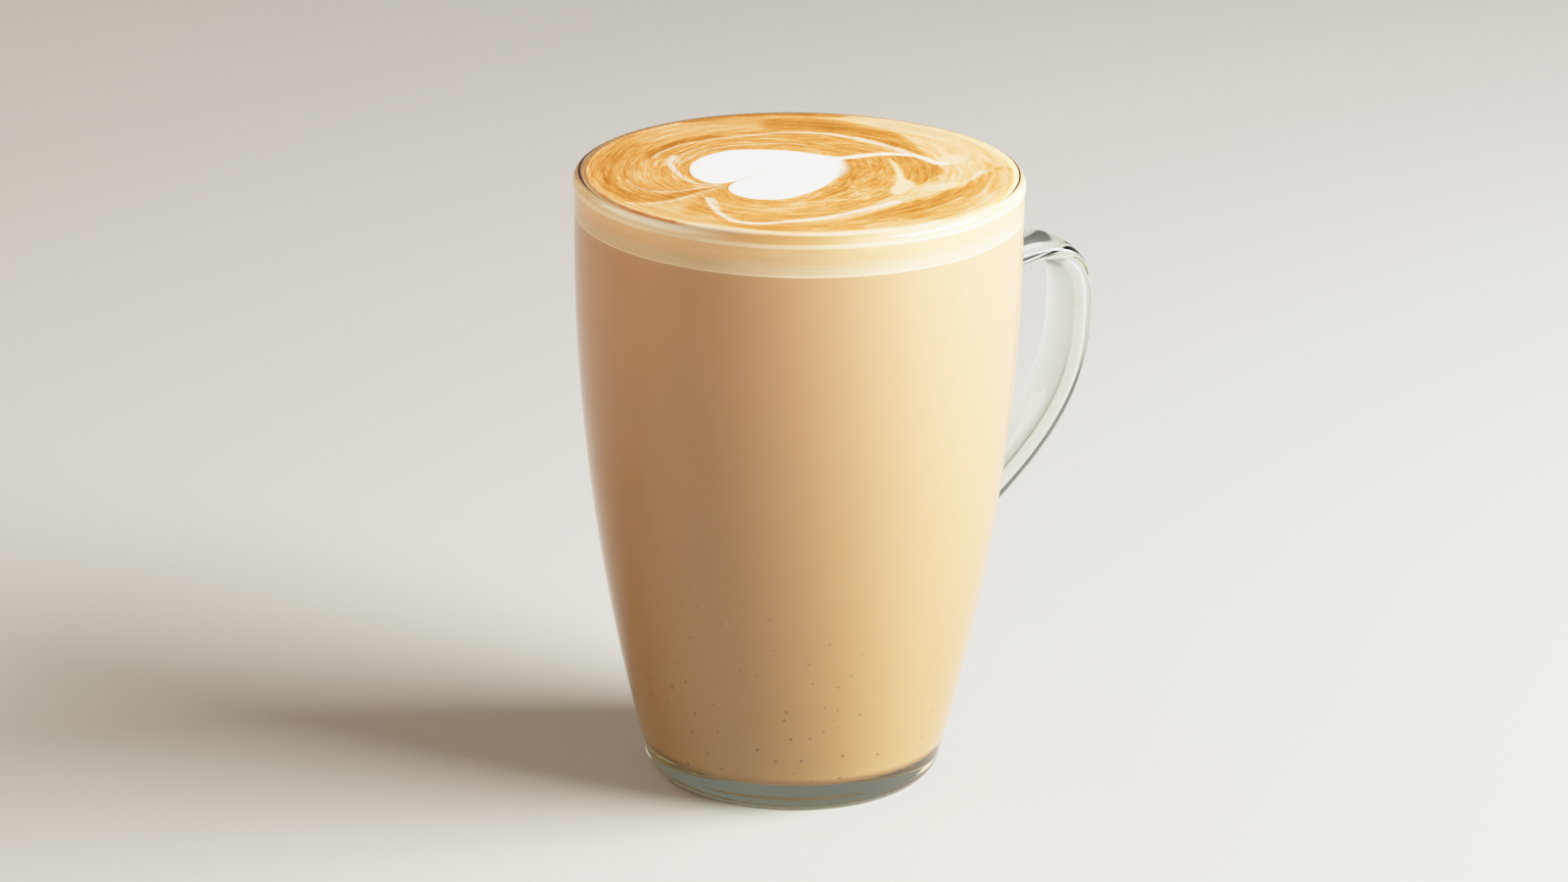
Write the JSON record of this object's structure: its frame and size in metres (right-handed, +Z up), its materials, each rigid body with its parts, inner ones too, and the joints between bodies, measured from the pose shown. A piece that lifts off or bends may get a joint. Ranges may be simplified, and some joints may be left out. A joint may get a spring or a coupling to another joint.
{
  "type": "latte",
  "caption": "Latte in a clear tapered glass mug with a strap handle, filled to the rim, with a layer of milk foam and a white milk heart on top.",
  "frame": {"origin": "centre of the mug's flat foot, on the mug's axis", "axes": "+Z up along the mug's axis, +X from the axis towards the handle, +Y across the handle"},
  "size_m": [0.1106, 0.0888, 0.1254],
  "materials": {
    "clear_glass": "clear smooth glass, faintly green where it is thick",
    "milky_coffee": "opaque liquid seen through glass",
    "crema_foam": "fine moist foam, tan with paler swirls",
    "steamed_milk": "smooth white milk foam"
  },
  "bodies": {
    "root": {"glass_mug": "clear_glass", "coffee": "milky_coffee", "milk_foam": "crema_foam", "milk_heart": "steamed_milk"}
  },
  "joints": []
}
